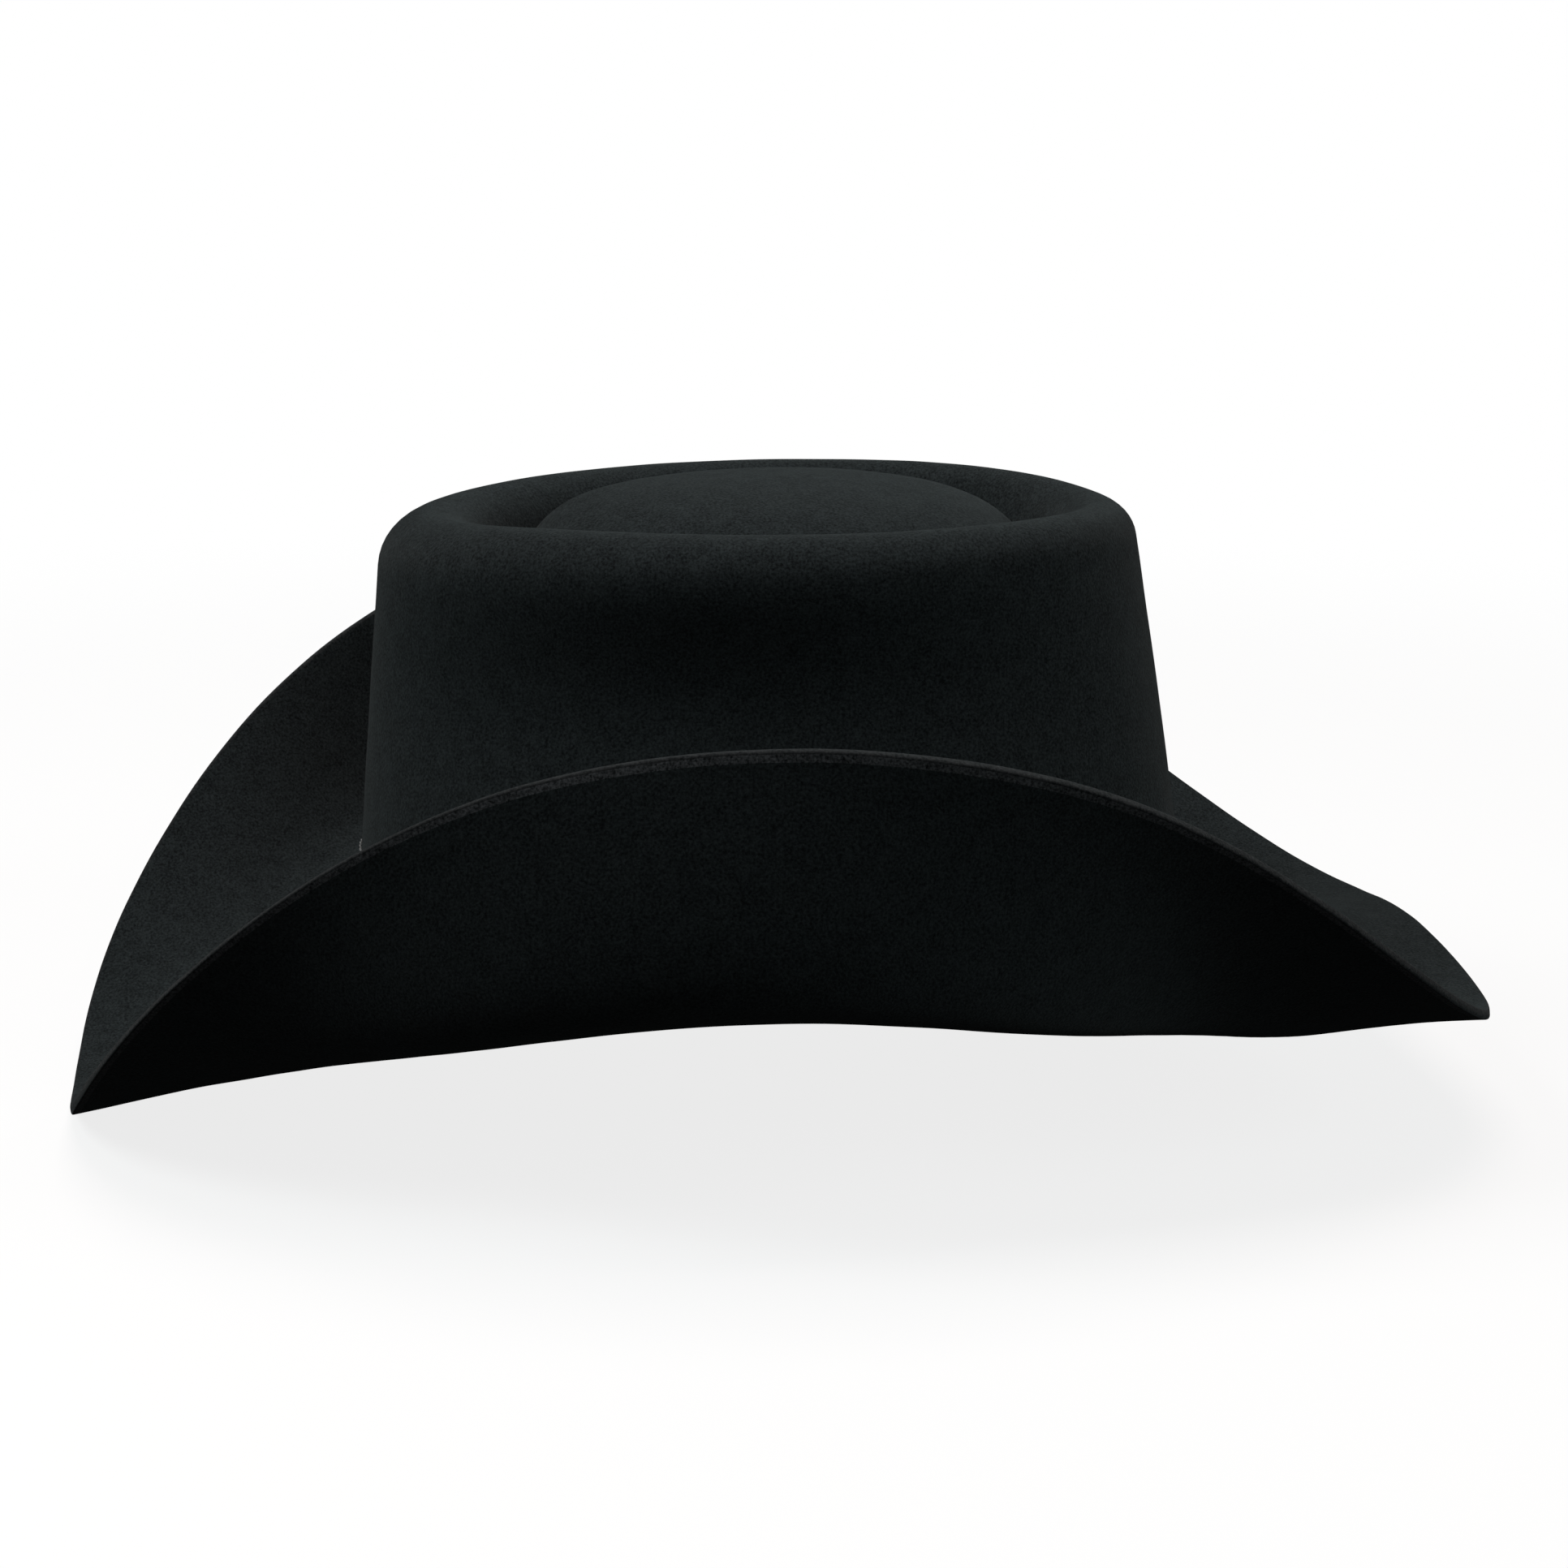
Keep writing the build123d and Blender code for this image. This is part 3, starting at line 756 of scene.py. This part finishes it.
def makeBow():
    # flat ribbon tied in a small bow: two loops, two cut tails and the knot over them
    middle = wallSpot(90, bow["height"], tabFace + layers["gap"])
    lean = radians(around(90, crown["wallLean"]))
    inward, upward = Vector((0, -cos(lean), -sin(lean))), Vector((0, -sin(lean), cos(lean)))
    vertices, faces = [], []

    def strip(points, widths, across):  # points run sideways, up and out from the middle
        start, count = len(vertices), len(points)
        for k, point in enumerate(points):
            before, after = points[max(0, k - 1)], points[min(count - 1, k + 1)]
            way = Vector([b - a for a, b in zip(before, after)]).normalized()
            flatWay = (across - way * across.dot(way)).normalized()
            normal = way.cross(flatWay)
            for a, b in ((-1, -1), (1, -1), (1, 1), (-1, 1)):
                spot = Vector(point) + flatWay * a * widths[k] / 2 + normal * b * bow["thickness"] / 2
                placed = Vector((1, 0, 0)) * spot.x + upward * spot.y + inward * spot.z
                vertices.append(middle + placed * mm)
        joinRings(faces, start, count, 4)

    wide, gathered = bow["ribbon"], bow["gathered"]
    startX, startY = bow["tailStart"]
    tailX, tailY = bow["tail"]
    for side in (-1, 1):
        path, widths = [], []
        for k in range(bow["loopSteps"] + 1):
            turned = 2 * pi * k / bow["loopSteps"]
            reach = (1 - cos(turned)) / 2
            puff = bow["loopPuff"] * sin(turned) * (bow["loopPinch"] + (1 - bow["loopPinch"]) * reach)
            path.append((side * (bow["loopStart"] + bow["loopReach"] * reach), bow["loopRise"] * reach,
                         bow["loopLift"] + puff))
            widths.append(wide * (gathered + (1 - gathered) * min(1, reach * bow["loopSpread"])))
        strip(path, widths, Vector((0, 1, 0)))
        path, widths = [], []
        for k in range(bow["tailSteps"] + 1):
            t = k / bow["tailSteps"]
            path.append((side * (startX + tailX * t), startY + tailY * t,
                         bow["tailLift"] + bow["tailWave"] * sin(3 * t)))
            widths.append(wide * min(bow["tailWidth"], gathered + bow["tailSpread"] * t))
        way = Vector((side * tailX, tailY, 0)).normalized()
        strip(path, widths, Vector((-way.y, way.x, 0)))
    path = []
    for k in range(bow["knotSteps"] + 1):
        turned = 2 * pi * k / bow["knotSteps"]
        path.append((bow["knot"] * sin(turned), 0.0, bow["knotHigh"] - bow["knotHigh"] * cos(turned)))
    strip(path, [wide * bow["knotWidth"]] * len(path), Vector((0, 1, 0)))
    return newPiece("ribbonBow", vertices, faces, satinRibbon)


ribbonBow = makeBow()
bevelled = ribbonBow.modifiers.new("softEdges", "SUBSURF")
bevelled.levels = bevelled.render_levels = 1
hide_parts("band_bow")


tag = {
    "sweep": 4.0,                   # degrees each way from the side
    "low": 22.0, "high": 36.0, "thickness": 0.2, "corner": 0.6,
    "cloth": "#d9d8d2", "ink": "#1d1d1f", "spacing": 0.4,
    "size": "57", "figureHeight": 9.0, "figureRelief": 0.03, "figureLift": 0.22,
}
tagDepth = faceDepth + layers["gap"]
# damask label: a dull, close weave, with the figures woven in a darker thread
wovenLabel = makeCloth("damaskLabelWoven", tag["cloth"], tag["spacing"], roughness=0.75, sheen=0.2)
wovenFigures = makeCloth("wovenFigures", tag["ink"], tag["spacing"], roughness=0.75, sheen=0.2)
sizeTag = patchPiece("sizeTag", (-tag["sweep"], tag["sweep"]), tag["low"], tag["high"], tagDepth,
                     tag["thickness"], tag["corner"], wovenLabel)
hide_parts("size_tag")
figures = bpy.data.curves.new("sizeFigures", "FONT")
figures.body = tag["size"]
figures.size = tag["figureHeight"] * mm
figures.align_x = figures.align_y = "CENTER"
figures.extrude = tag["figureRelief"] * mm
figures.materials.append(wovenFigures)
sizeFigures = addObject("sizeFigures", figures)
tagMiddle = wallSpot(0, (tag["low"] + tag["high"]) / 2, tagDepth + tag["thickness"] + tag["figureLift"])
tilt = radians(around(0, crown["wallLean"]))
facing = Matrix(((0, -sin(tilt), -cos(tilt)), (-1, 0, 0), (0, cos(tilt), -sin(tilt)))).to_4x4()
sizeFigures.matrix_world = Matrix.Translation(tagMiddle) @ facing
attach(sizeFigures, "root")
print("hat: tab, bow and tag made")


stage = {
    "floor": 4.0,                   # metres from the middle to each side
    "near": 0.40, "far": 1.0,       # metres over which the paper fades to white
    "glow": 0.82,                   # share of white glow under the hat; the rest takes its shadow
    "paper": "#f7f7f7", "bounce": "#2e2e2e",
    "fill": 0.17,                   # strength of the world's light on the hat
}


def seenRays(tree):  # the light path, and 1 for rays that show the background to the eye
    rays = addNode(tree, "ShaderNodeLightPath")
    seen = rays.outputs["Is Camera Ray"]
    for other in ("Is Glossy Ray", "Is Transmission Ray"):
        either = addNode(tree, "ShaderNodeMath", {0: seen, 1: rays.outputs[other]}, operation="MAXIMUM")
        seen = either.outputs[0]
    return rays, seen


def makeBackground(name):
    # seamless paper, white to the eye and dark to the light that bounces, so that the underside stays dark
    material, tree = newMaterial(name)
    place = addNode(tree, "ShaderNodeTexCoord").outputs["Object"]
    distance = addNode(tree, "ShaderNodeVectorMath", {0: place}, operation="LENGTH")
    fade = addNode(tree, "ShaderNodeMapRange", {
        "Value": distance.outputs["Value"], "From Min": stage["near"], "From Max": stage["far"],
        "To Min": stage["glow"]}, interpolation_type="SMOOTHSTEP")
    rays, seen = seenRays(tree)
    paper = addNode(tree, "ShaderNodeBsdfDiffuse", {"Color": linearColour(stage["paper"])})
    dull = addNode(tree, "ShaderNodeBsdfDiffuse", {"Color": linearColour(stage["bounce"])})
    white = addNode(tree, "ShaderNodeEmission", {"Color": (1, 1, 1, 1), "Strength": 1.0})
    lit = addNode(tree, "ShaderNodeMixShader", {0: fade.outputs[0], 1: paper.outputs[0], 2: white.outputs[0]})
    chosen = addNode(tree, "ShaderNodeMixShader", {0: seen, 1: dull.outputs[0], 2: lit.outputs[0]})
    # from below the paper lets the eye through to the inside of the hat
    side = addNode(tree, "ShaderNodeNewGeometry")
    below = addNode(tree, "ShaderNodeMath", {
        0: side.outputs["Backfacing"], 1: rays.outputs["Is Camera Ray"]}, operation="MULTIPLY")
    clear = addNode(tree, "ShaderNodeBsdfTransparent")
    both = addNode(tree, "ShaderNodeMixShader", {
        0: below.outputs[0], 1: chosen.outputs[0], 2: clear.outputs[0]})
    addNode(tree, "ShaderNodeOutputMaterial", {"Surface": both.outputs[0]})
    return material


reach = stage["floor"]
floorMesh = bpy.data.meshes.new("paperFloor")
floorCorners = [(-reach, -reach, 0), (reach, -reach, 0), (reach, reach, 0), (-reach, reach, 0)]
floorMesh.from_pydata(floorCorners, [], [(0, 1, 2, 3)])
floorMesh.materials.append(makeBackground("seamlessPaper"))
paperFloor = addObject("paperFloor", floorMesh)
paperFloor.location.z = cadBox[0][2]

world = bpy.data.worlds.new("studioWorld")      # white to the eye, and a faint fill to the hat
bpy.context.scene.world = world
world.use_nodes = True
sky = world.node_tree
sky.nodes.clear()
seenSky = seenRays(sky)[1]
fill = addNode(sky, "ShaderNodeBackground", {"Color": (1, 1, 1, 1), "Strength": stage["fill"]})
white = addNode(sky, "ShaderNodeBackground", {"Color": (1, 1, 1, 1), "Strength": 1.0})
mixed = addNode(sky, "ShaderNodeMixShader", {0: seenSky, 1: fill.outputs[0], 2: white.outputs[0]})
addNode(sky, "ShaderNodeOutputWorld", {"Surface": mixed.outputs[0]})

lamps = {   # place and aim in metres, size in metres, power in watts
    "overheadSoftbox": {
        "place": (0, 0, 1.7), "aim": (0, 0, 0), "size": 1.0, "power": 17.0, "colour": "#fff2ee"},
    "frontSoftbox": {
        "place": (0.25, -1.3, 1.35), "aim": (0, 0, 0.05), "size": 0.8, "power": 18.0, "colour": "#f8ffff"},
    "backFill": {
        "place": (0.8, 1.6, 0.8), "aim": (0, 0, 0.05), "size": 0.8, "power": 9.5, "colour": "#f2ffff"},
}
for name, lamp in lamps.items():
    light = bpy.data.lights.new(name, "AREA")
    light.shape = "SQUARE"
    light.size = lamp["size"]
    light.energy = lamp["power"]
    light.color = linearColour(lamp["colour"])[:3]
    lampObject = addObject(name, light)
    lampObject.location = lamp["place"]
    toAim = Vector(lamp["aim"]) - Vector(lamp["place"])
    lampObject.rotation_euler = toAim.to_track_quat("-Z", "Y").to_euler()

view = {
    "azimuth": 81.0, "elevation": 12.4, "roll": 0.4,    # degrees
    "distance": 956.4, "aim": (-88.1, 17.0, 3.6),       # millimetres
    "lens": 2.194, "sensor": 36.0,                      # the lens in widths of the sensor
}
turned, raised, roll = (radians(view[key]) for key in ("azimuth", "elevation", "roll"))
back = Vector((sin(turned) * cos(raised), -cos(turned) * cos(raised), sin(raised)))
right = Vector((cos(turned), sin(turned), 0))
up = back.cross(right)
right, up = right * cos(roll) + up * sin(roll), up * cos(roll) - right * sin(roll)
cameraData = bpy.data.cameras.new("viewCamera")
cameraData.sensor_width = view["sensor"]
cameraData.lens = view["sensor"] * view["lens"]
camera = addObject("viewCamera", cameraData)
axes = Matrix((right, up, back)).transposed().to_4x4()
camera.matrix_world = Matrix.Translation((Vector(view["aim"]) + back * view["distance"]) * mm) @ axes
bpy.context.scene.camera = camera
bpy.context.scene.view_settings.view_transform = "Standard"
print("hat: stage, lamps and camera set")
